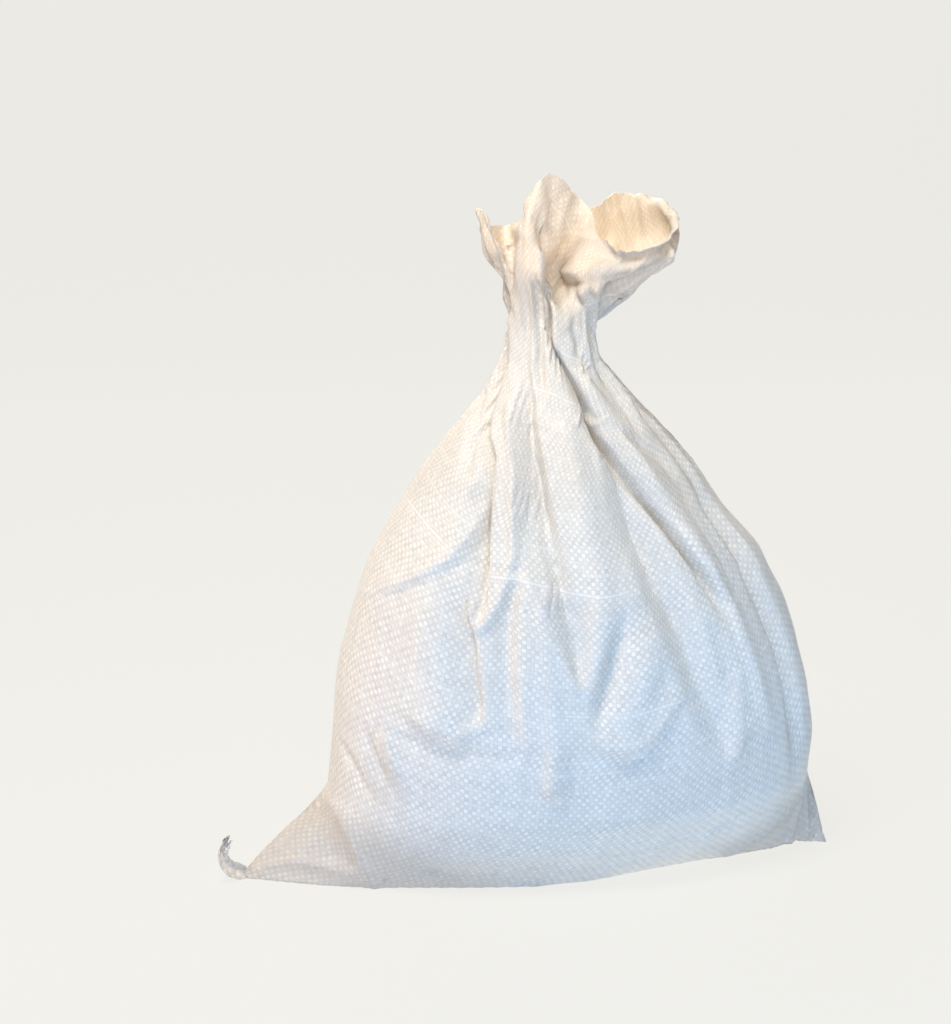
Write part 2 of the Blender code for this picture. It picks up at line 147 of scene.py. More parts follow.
# Folds, rolls and lips, drawn one by one. "traced" has (x, y, depth) on the photograph, x and y in its
# pixels.
# "route" has (height, turn, depth) on the sack, near the neck and the ground and where nothing can be seen.
# Height and depth are in mm, and a roll's depth is less than 0. "spread" is how far a fold reaches in mm to
# its left and right hand: going down, that is to the sack's right and left; going right, up and down. Its
# section is a sharp crease unless "shape" says that its sides are flat or that it is round. "lean" is how
# far in mm its steep side's lip bulges over it.
foldList = [
    # left of the middle: the pocket beside the long roll, and the ledge of the slanting fold above it
    {"route": ((430, 176, 16), (405, 170, 18), (385, 163, 20), (357, 149, 18)),
     "traced": ((495, 462, 12), (494, 485, 4), (494, 500, 0)), "spread": (8, 9), "lean": 3},
    {"traced": ((493, 476, 3), (492, 500, 13), (491, 535, 18), (489, 570, 16), (485, 597, 10),
                (480, 614, 4)), "spread": (8, 22), "lean": 3},
    {"traced": ((484, 398, 4), (478, 430, 7), (472, 458, 5), (468, 480, 0)), "spread": (8, 10)},
    {"traced": ((360, 594, -2), (378, 589, -4), (400, 581, -6), (422, 571, -7), (440, 562, -7),
                (451, 556, -7), (462, 540, -7), (475, 518, -5), (487, 497, -3), (496, 478, -1)),
     "spread": (42, 8), "shape": "flat"},
    # the lip round the pocket's foot
    {"traced": ((450, 558, -2), (456, 580, -5), (463, 604, -5), (471, 620, -6), (479, 627, -6),
                (489, 617, -6), (498, 602, -5), (505, 582, -4), (510, 560, -3)), "spread": (6, 8)},
    # the long roll from the neck to the pocket
    {"traced": ((509, 400, -4), (511, 440, -5), (512, 480, -5), (512, 520, -5), (511, 560, -4)),
     "spread": (10, 5)},
    # below it: a flattened pillar with a rounded foot, and the folds either side
    {"traced": ((458, 563, 3), (467, 600, 8), (474, 640, 10), (478, 680, 10), (481, 715, 7), (482, 728, 2)),
                "spread": (4, 21), "shape": "flat"},
    {"traced": ((428, 580, -3), (426, 620, -5), (428, 670, -6), (440, 705, -6)), "spread": (24, 28),
     "shape": "round"},
    {"traced": ((394, 697, -2), (410, 716, -5), (432, 731, -7), (456, 739, -7), (474, 731, -5)),
     "spread": (26, 6), "shape": "flat"},
    {"traced": ((514, 590, 3), (507, 618, 7), (505, 655, 8), (507, 695, 7), (511, 732, 4), (515, 750, 0)),
     "spread": (13, 12)},
    {"traced": ((524, 572, -2), (521, 600, -4), (521, 650, -4), (522, 700, -4), (525, 745, -2)),
     "spread": (26, 7), "shape": "flat"},
    {"traced": ((541, 600, -1), (546, 645, -3), (552, 700, -4), (556, 750, -5), (557, 788, -5)),
     "spread": (14, 13), "shape": "round"},
    {"traced": ((546, 782, -1), (551, 792, -4), (558, 796, -4), (565, 790, -1)), "spread": (16, 6),
     "shape": "flat"},
    # the wide fold right of the roll, which ends in a point
    {"route": ((430, 137, 5), (400, 133, 6), (379, 125, 7)),
     "traced": ((530, 430, 10), (538, 480, 16), (547, 530, 17), (558, 572, 10), (566, 605, 0)),
     "spread": (10, 26), "shape": "flat"},
    {"traced": ((541, 540, 0), (555, 583, 10), (566, 620, 12), (575, 655, 11), (581, 683, 6),
                (584, 692, 1)), "spread": (24, 9)},
    {"traced": ((527, 575, -2), (541, 603, -4), (553, 632, -5), (564, 662, -5), (575, 688, -4)),
     "spread": (5, 8)},
    # short crumples below the neck
    {"route": ((430, 120, 6), (415, 119, 7), (390, 116, 4), (372, 113, 0)), "spread": (8, 8)},
    {"route": ((430, 74, 5), (415, 72, 6), (400, 67, 7), (384, 61, 7), (371, 58, 5),
               (357, 57, 0)), "spread": (9, 8)},
    # the panel in the middle, and the short fold and pillar under it
    {"traced": ((566, 430, -4), (580, 490, -5), (594, 550, -5), (600, 600, -5), (596, 645, -5),
                (588, 685, -4)), "spread": (18, 14), "shape": "round"},
    {"traced": ((626, 618, 2), (615, 650, 8), (607, 685, 10), (600, 718, 8), (598, 738, 2)),
     "spread": (9, 14)},
    {"traced": ((648, 640, -3), (642, 680, -5), (632, 715, -5)), "spread": (20, 18), "shape": "round"},
    {"traced": ((592, 735, -2), (604, 748, -5), (622, 754, -7), (640, 748, -7), (656, 735, -5),
                (670, 713, -4), (684, 695, -2)), "spread": (26, 6), "shape": "flat"},
    # the fold between the middle panel and the main one
    {"traced": ((603, 432, 2), (613, 462, 6), (626, 500, 12), (642, 545, 19), (660, 585, 20),
                (677, 622, 19), (691, 655, 16), (704, 690, 12), (716, 725, 9), (727, 755, 3)),
     "spread": (12, 26), "shape": "flat"},
    # the long main fold, from the middle of the neck down to the right, and the panel beside it
    {"route": ((430, 106, 11), (418, 102, 11), (401, 90, 13), (388, 84, 16), (366, 78, 20)),
     "traced": ((588, 421, 20), (611, 459, 20), (636, 494, 20), (660, 528, 19), (682, 559, 17),
                (703, 588, 14), (719, 609, 9), (731, 627, 2)), "spread": (6, 11), "lean": 4},
    {"traced": ((582, 360, -3), (596, 390, -4), (618, 425, -5), (645, 465, -6), (671, 502, -6),
                (696, 540, -6), (718, 577, -6), (737, 615, -6), (753, 655, -6), (765, 695, -6),
                (772, 721, -5)), "spread": (16, 6)},
    {"traced": ((612, 428, 3), (634, 444, 7), (657, 462, 8), (678, 488, 5), (690, 508, 0)),
     "spread": (12, 9)},
    {"traced": ((710, 630, 2), (722, 665, 5), (731, 700, 4), (736, 725, 0)), "spread": (14, 13)},
    # right of it
    {"route": ((430, 27, 27), (380, 25, 17), (345, 27, 9)),
     "traced": ((700, 488, 7), (712, 515, 13), (729, 550, 17), (747, 590, 19), (765, 632, 19),
                (779, 676, 18), (787, 718, 14), (792, 757, 8), (795, 792, 2)), "spread": (8, 19),
     "shape": "flat"},
    {"traced": ((722, 522, -2), (746, 560, -3), (768, 603, -3), (787, 655, -4), (799, 715, -3)),
     "spread": (8, 8)},
    {"traced": ((722, 690, 3), (724, 725, 5), (727, 758, 1)), "spread": (6, 7)},
    {"traced": ((741, 670, -3), (742, 715, -4), (736, 762, -3)), "spread": (8, 7)},
    {"traced": ((728, 765, -1), (740, 752, -3), (748, 728, -3), (760, 722, -4), (772, 725, -3)),
     "spread": (12, 5), "shape": "flat"},
    {"route": ((430, 48, 12), (410, 48, 12), (380, 49, 9), (356, 51, 4), (343, 50, 0)),
     "spread": (14, 12)},
    {"route": ((430, 8, 27), (380, 10, 19), (330, 12, 10), (285, 13, 0)), "spread": (14, 12)},
    # short folds low on the left
    {"traced": ((338, 735, 1), (352, 760, 5), (364, 785, 5), (376, 805, 0)), "spread": (7, 6)},
    {"traced": ((360, 712, 1), (370, 740, 5), (382, 770, 6), (394, 794, 1)), "spread": (7, 8)},
    {"traced": ((382, 720, -2), (386, 745, -4), (394, 770, -4), (404, 790, -1)), "spread": (7, 6)},
    {"traced": ((378, 728, 1), (410, 740, 3), (450, 752, 3), (500, 758, 2), (540, 752, 0)),
     "spread": (7, 10)},
    # long low wrinkles near the ground
    {"route": ((20, 112, 0), (22, 104, 3), (26, 91.6, 3.5), (34, 74.3, 3.5), (41, 62.6, 3),
               (52, 55.6, 3), (58, 40, 0)), "spread": (11, 6)},
    {"route": ((36, 100, 0), (40, 92, 2), (44, 82.7, 2.5), (54, 70.8, 0)), "spread": (9, 7)},
    # the back, which the photograph doesn't show
    {"route": ((430, 192, 27), (360, 196, 18), (300, 199, 12), (240, 202, 6), (190, 204, 0)),
     "spread": (12, 14)},
    {"route": ((430, 215, 27), (350, 219, 20), (280, 223, 15), (200, 226, 9), (130, 228, 0)),
     "spread": (16, 9)},
    {"route": ((430, 238, 27), (350, 240, 19), (290, 240, 12), (240, 241, 0)), "spread": (10, 14)},
    {"route": ((430, 261, 27), (340, 259, 20), (260, 257, 14), (180, 258, 8), (110, 259, 0)),
     "spread": (9, 16)},
    {"route": ((430, 284, 27), (360, 281, 18), (300, 277, 12), (250, 275, 0)), "spread": (12, 10)},
    {"route": ((430, 307, 27), (340, 301, 20), (260, 297, 14), (190, 296, 8), (140, 296, 0)),
     "spread": (14, 9)},
    {"route": ((430, 331, 27), (350, 327, 18), (280, 322, 12), (210, 320, 6), (165, 319, 0)),
     "spread": (10, 14)},
    {"route": ((430, 351, 27), (370, 350, 16), (310, 348, 10), (250, 347, 0)), "spread": (12, 12)},
    {"route": ((302, 283, 0), (270, 300, 7), (245, 318, 7), (223, 337, 0)), "spread": (9, 22)},
    {"route": ((40, 306, 0), (32, 292, 3), (34, 275, 3), (30, 262, 0)), "spread": (11, 6)},
    {"route": ((46, 250, 0), (40, 234, 2.5), (45, 222, 0)), "spread": (9, 7)},
]

# The open mouth: for a share of the way round the cloth from its left edge by the front, where it bulges or
# dips above the neck, and where its rim is. Traced points are (x, y) on the photograph, in its pixels, and
# how many mm nearer to the camera than the neck's middle they are.
mouth = {
    "traced": (
        (0.000, (490, 260, -2), (476, 209, 0)), (0.014, (494, 258, 7), (483, 211, 5)),
        (0.029, (501, 257, 14), (490, 227, 5)), (0.045, (510, 262, 3), (506, 227, -14)),
        (0.058, (511, 262, 14), (521, 225, -4)), (0.070, (513, 258, 22), (527, 221, 14)),
        (0.092, (522, 256, 25), (540, 180, 19)), (0.106, (531, 255, 27), (549, 174, 17)),
        (0.124, (540, 254, 27), (564, 181, 10)), (0.146, (547, 262, 19), (579, 195, 0)),
        (0.168, (554, 270, -6), (590, 213, -2)), (0.192, (563, 272, -12), (594, 228, 8)),
        (0.218, (573, 267, 6), (599, 242, 17)), (0.248, (585, 284, 27), (607, 252, 25)),
        (0.275, (598, 281, 33), (614, 259, 29)), (0.302, (612, 277, 36), (622, 263, 30)),
        (0.332, (629, 274, 37), (636, 261, 29)), (0.362, (646, 271, 34), (651, 256, 26)),
        (0.397, (663, 264, 26), (665, 246, 19)), (0.432, (675, 254, 14), (672, 234, 9)),
        (0.467, (681, 243, 0), (673, 221, -5)), (0.500, (679, 238, -14), (665, 210, -17)),
        (0.532, (662, 240, -25), (652, 205, -25)), (0.566, (641, 242, -31), (636, 199, -30)),
        (0.600, (623, 244, -35), (617, 193, -32)), (0.640, (605, 246, -36), (603, 202, -34)),
        (0.675, (592, 249, -30), (591, 212, -28)),
    ),
    # behind, where nothing can be seen, the rim's x, y and z in mm; the bulge lies below and inside it
    "unseen": (
        (0.700, 12, 46, 508), (0.716, 2, 47, 503), (0.748, -6, 22, 495), (0.780, -16, 48, 500),
        (0.795, -24, 46, 499), (0.825, -26, 18, 490), (0.856, -37, 42, 498), (0.871, -44, 38, 497),
        (0.898, -43, 16, 492), (0.927, -56, 33, 500), (0.943, -64, 26, 503),
    ),
    "bulgeIn": (0.80, 0.72),   # its share of the rim's x and y
    "bulgeBelow": 24,
    "unseenLast": (0.972, -60, 15, 481, -68, 19, 509),
    "neckMiddle": (-0.012, 0.0, 0.0),
    "flare": (0.15, 0.52),     # how much of the bulge's spread the throat has, under the petal and the cup
    "throat": 0.45,            # how far up to the bulge the throat is
}

cloth = {
    "girth": 1.0,
    "columns": 312,          # round the tube
    "rows": 216,             # from the bottom seam to the rim
    "deepest": 0.80,         # the most of the body's radius that a fold takes
    "thickness": 0.0004,     # drawn thicker than the real 0.15 mm, so that the rim shows
    "innerRows": 58,         # how many rows down from the rim show their inner side
}


def stationAt(height):
    return [np.interp(height, bodyStations[:, 0], bodyStations[:, k]) for k in range(1, 5)]


def squareAt(height):
    low, high = squareness
    return low + (high - low) * softStep(0.10, 0.30, height)


def outlineAt(height, turns):
    # the unfolded body's outline from its own middle: to the right, and to the front
    halfWidth, halfDepth, _, _ = stationAt(height)
    across, along = np.cos(np.radians(turns)), np.sin(np.radians(turns))
    power = squareAt(height)
    radius = (np.abs(across) ** power + np.abs(along) ** power) ** (-1.0 / power)
    return np.stack([halfWidth * radius * across, halfDepth * radius * along], axis=1)


def onBody(x, y):
    # the height in mm and the turn at which the camera sees a pixel of the photograph on the unfolded body
    places = cameraPlace + sightLine(x, y) * np.linspace(1.3, 1.95, 6000)[:, None]
    height = places[:, 2]
    halfWidth, halfDepth, middleX, middleY = stationAt(height)
    across, along = (places[:, 0] - middleX) / halfWidth, (middleY - places[:, 1]) / halfDepth
    out = np.abs(across) ** squareAt(height) + np.abs(along) ** squareAt(height)
    first = np.argmax(out < 1.0) if (out < 1.0).any() else np.argmin(out)
    return round(height[first] * 1000), round(math.degrees(math.atan2(along[first], across[first])), 1)


def placeFold(x, y, depth, sunk=0.4, most=9.0):
    # a fold's bottom lies behind the unfolded cloth, so a traced point is moved round the body, by so many
    # degrees at most, until the camera sees it where it was traced
    height, turn = onBody(x, y)
    facing = 90.0 - view["azimuth"]
    turns = np.append(np.arange(0.0, 181.0, 0.1), turn)
    outline = outlineAt(height / 1000, turns)
    angles = np.degrees(np.arctan2(outline[:, 1], outline[:, 0]))
    reach, off = math.hypot(*outline[-1]), facing - angles[-1]
    if abs(off) < 90.0:
        share = math.sin(math.radians(off)) * reach / max(reach - sunk * depth / 1000, 0.35 * reach)
        seen = facing - math.degrees(math.asin(max(-0.995, min(0.995, share))))
        turn = max(turn - most, min(turn + most, turns[np.argmin(np.abs(angles[:-1] - seen))]))
    return height, round(float(turn), 1), depth


for fold in foldList:
    placed = [placeFold(*point) for point in fold.get("traced", ())]
    fold["places"] = np.array([*fold.get("route", ()), *placed]) / (1000, 1, 1)


def mouthPlaces():
    # a row for each share of the way round the cloth: the share, then the bulge and the rim in whole mm
    toCamera = viewAxes()[0] * (1.0, 1.0, 0.0)
    toCamera /= np.linalg.norm(toCamera)
    rows = []
    for share, *points in mouth["traced"]:
        row = [share]
        for x, y, nearer in points:
            direction = sightLine(x, y)
            apart = nearer / 1000 + (mouth["neckMiddle"] - cameraPlace) @ toCamera
            row += [round(k * 1000) for k in cameraPlace + direction * (apart / (direction @ toCamera))]
        rows.append(row)
    inX, inY = mouth["bulgeIn"]
    for share, x, y, z in mouth["unseen"]:
        rows.append([share, round(x * inX), round(y * inY), z - mouth["bulgeBelow"], x, y, z])
    return np.array([*rows, mouth["unseenLast"], [1.0, *rows[0][1:]]])


def foldOffset(height, turns, metresPerDegree, roundBack):
    # how far the cloth is pulled in at a height, and how far a lip leans sideways over its fold, in metres
    inwards, sideways = np.zeros_like(turns), np.zeros_like(turns)
    for fold in foldList:
        route = fold["places"]
        reach = max(fold["spread"]) / 1000
        low, high = route[:, 0].min() - reach, route[:, 0].max() + reach
        if (route[-1, 1] > 180) != roundBack or not low < height < high:
            continue
        nearest = route[np.argmin(np.abs(route[:, 0] - height)), 1]
        scale = np.interp(nearest, turns, metresPerDegree)
        # the body unrolled: across it to the right, and up its slope
        places = np.stack([-route[:, 1] * scale, route[:, 0] * wallSlope], axis=1)
        across = -((turns - nearest + 180.0) % 360.0 - 180.0 + nearest) * scale
        closest = np.full(len(turns), 9.0)
        depth, side = np.zeros_like(turns), np.zeros_like(turns)
        for start, end, startDepth, endDepth in zip(places, places[1:], route[:, 2], route[1:, 2]):
            step = end - start
            length = math.hypot(*step) + 1e-9
            dx, dy = across - start[0], height * wallSlope - start[1]
            share = np.clip((dx * step[0] + dy * step[1]) / length ** 2, 0.0, 1.0)
            apart = np.hypot(dx - share * step[0], dy - share * step[1])
            better = apart < closest
            closest = np.where(better, apart, closest)
            depth = np.where(better, startDepth + share * (endDepth - startDepth), depth)
            side = np.where(better, (step[0] * dy - step[1] * dx) / length, side)
        hand = np.clip(side / (closest + 1e-6) * 1.3, -1.0, 1.0)
        # a fold keeps its width down the body, and is pinched where the cloth gathers
        onLeft, onRight = [min(s / 1000, 11.0 * scale) for s in fold["spread"]]
        narrow = 0.45 + 0.55 * np.clip(np.abs(depth) / min(12.0, np.abs(route[:, 2]).max()), 0.0, 1.0)
        away = closest / (((onLeft + onRight) / 2 + (onLeft - onRight) / 2 * hand) * narrow)
        inside = np.clip(1.0 - away, 0.0, None)
        shape = {"crease": inside ** 1.45 * (1.0 + 0.45 * away), "flat": inside,
                 "round": np.clip(1.0 - away ** 2, 0.0, None) ** 2}[fold.get("shape", "crease")]
        inwards += depth / 1000 * shape
        if "lean" in fold:
            # the steep side's lip bulges over the fold
            lip = np.clip(hand, 0.0, 1.0) * np.exp(-((away - 1.15) / 0.75) ** 2)
            sideways += fold["lean"] / 1000 * np.minimum(1.0, np.clip(depth, 0.0, None) / 12.0) * lip
    return inwards, sideways


def bodyRing(height, turns):
    # a closed ring of the body; the unseen back's folds are made as deep as its half of the cloth needs
    middle = np.array(stationAt(height)[2:])
    flat = middle + outlineAt(height, turns) * (1.0, -1.0)
    outward = flat - middle
    reach = np.linalg.norm(outward, axis=1)
    outward = outward / reach[:, None]
    metresPerDegree = np.linalg.norm(np.roll(flat, -1, 0) - flat, axis=1) / (turns[1] - turns[0])
    along = np.roll(flat, -1, 0) - np.roll(flat, 1, 0)
    along /= np.linalg.norm(along, axis=1)[:, None]
    front, back = [foldOffset(height, turns, metresPerDegree, roundBack) for roundBack in (False, True)]

    def folded(backShare):
        inwards = np.minimum(front[0] + backShare * back[0], cloth["deepest"] * reach)
        sideways = front[1] + backShare * back[1]
        return flat - outward * inwards[:, None] + along * sideways[:, None]

    low, high = 0.6, 1.35
    for _ in range(12):
        backShare = (low + high) / 2
        points = folded(backShare)
        runs = np.linalg.norm(np.roll(points, -1, 0) - points, axis=1)
        if runs[turns >= 180.0].sum() < cloth["girth"] / 2:
            low = backShare
        else:
            high = backShare
    return np.column_stack([folded(backShare), np.full(len(turns), height)])


def spreadAlong(ring, columns, height):
    # columns of cloth round a ring, from the left edge by the front: evenly over the front and the back, but
    # higher up the cloth has slid a little past the edges between them
    closed = np.concatenate([ring, ring[:1]])
    runs = np.concatenate([[0.0], np.cumsum(np.linalg.norm(np.diff(closed, axis=0), axis=1))])
    # rings are sampled from turn 0 upwards; the cloth's columns go from turn 180 down to 0 and on to 180
    total, front = runs[-1], runs[len(ring) // 2]
    shares = np.arange(columns) / columns
    whole = (front - shares * total) % total
    halves = np.where(shares < 0.5, front - shares * 2 * front, total - (shares - 0.5) * 2 * (total - front))
    loose = 0.25 * softStep(0.22, 0.40, height)
    gap = (whole - halves + total / 2) % total - total / 2
    at = (halves + gap * loose) % total
    return np.stack([np.interp(at, runs, closed[:, k]) for k in range(3)], axis=1)


def seamPoints(shares):
    # where each column of cloth is caught in the bottom seam
    along = 1.0 - np.abs(1.0 - 2.0 * shares)
    runs = np.concatenate([[0.0], np.cumsum(np.linalg.norm(np.diff(seamRoute, axis=0), axis=1))])
    points = np.zeros((len(shares), 3))
    for k in (0, 1):
        points[:, k] = np.interp(along * runs[-1], runs, seamRoute[:, k])
    return points


def footPoints(shares):
    along = 1.0 - np.abs(1.0 - 2.0 * shares)
    points = seamPoints(shares)
    points[:, 1] += np.where(shares < 0.5, -np.interp(along, footReach[:, 0], footReach[:, 1]),
                             np.interp(along, footReach[:, 0], footReach[:, 2]))
    return points


def clothTarget(columns, rows):
    # the whole cloth as a grid of points, columns round it and rows from the seam to the rim
    shares = np.arange(columns) / columns
    turns = np.arange(1440) / 4.0
    seam, foot = seamPoints(shares), footPoints(shares)
    levels = [seam + (foot - seam) * share for share in np.linspace(0.0, 1.0, 12)]
    body = spreadAlong(bodyRing(footHeight, turns), columns, footHeight)
    corner = (np.abs(np.cos(2.0 * math.pi * shares)) ** 14)[:, None]
    for height in np.linspace(0.004, footHeight, 13)[:-1]:
        share = height / footHeight
        here = spreadAlong(bodyRing(height, turns), columns, height)
        rounded = foot + (here - foot) * min(1.0, (share ** 0.5) * 1.05)
        ring = rounded * (1.0 - corner) + (foot + (body - foot) * (share ** 1.25)) * corner
        ring[:, 2] = height
        levels.append(ring)
    for height in np.linspace(footHeight, neckHeight, 122):
        levels.append(spreadAlong(bodyRing(height, turns), columns, height))
    neck = levels[-1]
    places = mouthPlaces()
    shaped = [np.interp(shares, places[:, 0], places[:, k]) / 1000 for k in range(1, 7)]
    bulge, rim = np.stack(shaped[:3], axis=1), np.stack(shaped[3:], axis=1)
    # the cup at the right spreads as soon as it leaves the neck, the front petal rises straight from it
    low, high = mouth["flare"]
    flare = low + (high - low) * softStep(0.30, 0.42, shares) * (1.0 - softStep(0.60, 0.75, shares))
    throat = neck + (bulge - neck) * np.stack([flare, flare, np.full(columns, mouth["throat"])], axis=1)
    upright = np.array((0.0, 0.0, throat[:, 2].mean() - neckHeight))
    stops = [neck, throat, bulge, rim]
    slopes = [upright, (bulge - neck) / 2, (rim - throat) / 2, (rim - bulge)]
    for start, end, leaving, arriving in zip(stops, stops[1:], slopes, slopes[1:]):
        for t in np.linspace(0.0, 1.0, 9)[1:]:
            smooth = start * (2 * t ** 3 - 3 * t ** 2 + 1) + leaving * (t ** 3 - 2 * t ** 2 + t)
            levels.append(smooth + end * (3 * t ** 2 - 2 * t ** 3) + arriving * (t ** 3 - t ** 2))
    levels = np.array(levels)
    runs = np.linalg.norm(np.diff(levels, axis=0), axis=2)
    runs = np.concatenate([np.zeros((1, columns)), np.cumsum(runs, axis=0)])
    # neighbouring columns share their spacing, so rows stay smooth
    width = max(2, columns // 40)
    kernel = np.exp(-np.linspace(-2, 2, 4 * width + 1) ** 2)
    kernel /= kernel.sum()
    padded = np.concatenate([runs[:, -2 * width:], runs, runs[:, :2 * width]], axis=1)
    even = np.stack([np.convolve(line, kernel, mode="valid") for line in padded])
    grid = np.empty((columns, rows, 3))
    for i in range(columns):
        at = np.linspace(0.0, even[-1, i], rows)
        for k in range(3):
            grid[i, :, k] = np.interp(at, even[:, i], levels[:, i, k])
    return grid, even[-1]


drawn, columnLengths = clothTarget(cloth["columns"], cloth["rows"])
print("cloth drawn:", cloth["columns"], "x", cloth["rows"])


# Settling: woven tape hardly stretches, so the drawn shape is relaxed until each tape has its length again

settling = {
    "rounds": 160,
    "keepShape": 0.05,       # how strongly the cloth is held to the drawn folds
    "keepMouth": 0.22,
    "shear": 0.01,           # how stiffly the weave resists being pulled askew
    "bend": 0.16,            # how stiffly it resists being folded
    "gap": 0.0006,           # from the cloth to the rubble
    "taut": 0.985,           # the cloth hangs stretched between the neck and the rubble
}


def pairGroups(columns, rows):
    # sets of point pairs in which no point appears twice, each with its reach across and up the cloth
    index = np.arange(columns * rows).reshape(columns, rows)
    columnNumber, rowNumber = np.arange(columns), np.arange(rows)
    groups = []

    def add(across, up, chosenColumns, chosenRows):
        low = chosenRows[(chosenRows + up >= 0) & (chosenRows + up < rows)]
        first = index[np.ix_(chosenColumns, low)].reshape(-1)
        second = index[np.ix_((chosenColumns + across) % columns, low + up)].reshape(-1)
        groups.append((across, up, first, second))

    for odd in (0, 1):
        add(1, 0, columnNumber[odd::2], rowNumber)
        add(0, 1, columnNumber, rowNumber[odd::2])
        add(1, 1, columnNumber[odd::2], rowNumber)
        add(1, -1, columnNumber[odd::2], rowNumber)
        add(2, 0, columnNumber[columnNumber % 4 // 2 == odd], rowNumber)
        add(0, 2, columnNumber, rowNumber[rowNumber % 4 // 2 == odd])
    return groups


rubbleTree = BVHTree.FromObject(bpy.data.objects["fill"], bpy.context.evaluated_depsgraph_get())


def leaveRubble(points):
    # move points that lie in the rubble, or closer to it than the gap, out to the gap
    for i in np.flatnonzero(points[:, 2] < 0.33):
        place, normal, _, apart = rubbleTree.find_nearest(points[i].tolist(), 0.03)
        if place is not None:
            inside = (points[i] - place) @ np.array(normal)
            if inside < settling["gap"]:
                points[i] = np.array(place) + np.array(normal) * settling["gap"]


def settle(drawn, columnLengths, rounds):
    columns, rows, _ = drawn.shape
    half = columns // 2
    # where the neck packs the cloth closer than the drawing can show, the drawing's own spacing is kept
    across = np.linalg.norm(np.roll(drawn, -1, axis=0) - drawn, axis=2)
    spacing = np.empty_like(across)
    for part in (slice(0, half), slice(half, columns)):
        packed = np.minimum(across[part].mean(axis=0), cloth["girth"] / columns)
        packed = np.convolve(np.pad(packed, 4, mode="edge"), np.ones(9) / 9, mode="valid")
        spacing[part] = packed
    atMouth = softStep(0.435, 0.465, drawn[:, :, 2])
    spacing = (spacing + (across - spacing) * atMouth).reshape(-1)
    tapeUp = np.repeat(columnLengths[:, None] / (rows - 1), rows, axis=1).reshape(-1) * settling["taut"]
    high = softStep(0.14, 0.24, drawn[:, :, 2]).reshape(-1)
    points = drawn.reshape(-1, 3).copy()
    aim = points.copy()
    hold = settling["keepShape"] + (settling["keepMouth"] - settling["keepShape"]) * atMouth.reshape(-1)
    seam = np.arange(columns) * rows
    plan = []
    for stepAcross, stepUp, first, second in pairGroups(columns, rows):
        rest = np.hypot(stepAcross * (spacing[first] + spacing[second]) / 2,
                        stepUp * (tapeUp[first] + tapeUp[second]) / 2)
        one = np.ones(len(first))
        if abs(stepAcross) + abs(stepUp) == 1:
            pull, push = one, 0.8 * one
            if stepUp:
                push = 0.8 - 0.72 * high[first]
        elif stepAcross and stepUp:
            pull, push = settling["shear"] * one, settling["shear"] * one
        else:
            pull, push = 0.0 * one, settling["bend"] * one
        plan.append((first, second, rest, pull, push))
    for turn in range(rounds):
        points += hold[:, None] * (aim - points)
        for first, second, rest, pull, push in plan:
            gap = points[second] - points[first]
            length = np.sqrt(np.einsum("ij,ij->i", gap, gap)) + 1e-9
            excess = 1.0 - rest / length
            move = gap * (excess * np.where(excess > 0, pull, push) * 0.5)[:, None]
            points[first] += move
            points[second] -= move
        points[seam] = aim[seam]
        np.maximum(points[:, 2], 0.0, out=points[:, 2])
        if turn % 20 == 19:
            leaveRubble(points)
    return points.reshape(columns, rows, 3)


target = settle(drawn, columnLengths, settling["rounds"])
print("cloth settled, moved at most", round(float(np.linalg.norm(target - drawn, axis=2).max()), 4))


# Wear: small shapes that are laid on the settled cloth

wear = {
    "crumples": 260,             # creases scrunched into the mouth and the neck
    "crumpleFold": 0.62,         # how sharply they turn the cloth
    "stones": 46,                # lumps where rubble presses from inside
    "stoneOut": 0.0030,
    "lip": 0.009,                # how much cloth curls over at the cup's edge
    "lipTurn": 2.5,              # how far it curls, in radians
    # creases of the two standing corners and the foot: (x, z) in mm on the front, how far they stand out
    # in mm (less than 0 for a groove), and how wide they are in mm
    "creases": (
        (((-205, 89), (-199, 66), (-188, 42), (-178, 16), (-170, 0)), 3.5, 8),
        (((-212, 70), (-208, 45), (-202, 26)), -5.0, 20),
        (((-254, 8), (-240, 15), (-224, 18), (-206, 17), (-186, 13)), 4.0, 7),
        (((-172, 2), (-158, 12), (-144, 17), (-125, 18)), -2.0, 5),
        (((198, 50), (187, 33), (184, 14), (182, 0)), 3.0, 6),
        (((120, 4), (135, 10), (155, 25), (172, 36)), 2.5, 9),
        (((189, 1), (201, 7), (206, 14)), -1.5, 4),
        (((-60, 6), (-31, 17), (2, 16), (35, 18), (68, 27), (84, 32), (101, 42)), -1.6, 6),
        (((-150, 10), (-135, 17), (-95, 17), (-63, 18)), -1.4, 6),
        # and of the mouth's front: the petal's folded edge and pocket, the facet beside it and the cup's lip
        (((-40, 503), (-30, 488), (-24, 473), (-20, 458)), 3.0, 5),
        (((-32, 514), (-22, 492), (-17, 473), (-17, 460)), -6.0, 10),
        (((10, 501), (4, 486), (-2, 472)), 3.0, 6),
        (((10, 501), (-3, 497), (-14, 493)), 2.0, 5),
        (((-17, 463), (2, 474), (22, 482), (50, 489), (68, 501)), 3.0, 6),
        (((-17, 456), (-2, 466), (18, 474), (38, 477), (60, 484)), -3.5, 6),
        (((-2, 452), (10, 460), (23, 458)), -2.5, 5),
        (((18, 464), (34, 469), (51, 473)), -2.5, 5),
        (((-28, 546), (-35, 530), (-38, 506)), 2.5, 7),
        (((-20, 541), (-14, 519), (-18, 500)), -4.0, 12),
    ),
}


def outwardNormals(grid):
    across = np.roll(grid, -1, axis=0) - np.roll(grid, 1, axis=0)
    normals = np.cross(across, np.gradient(grid, axis=1))
    return normals / (np.linalg.norm(normals, axis=2)[:, :, None] + 1e-12)


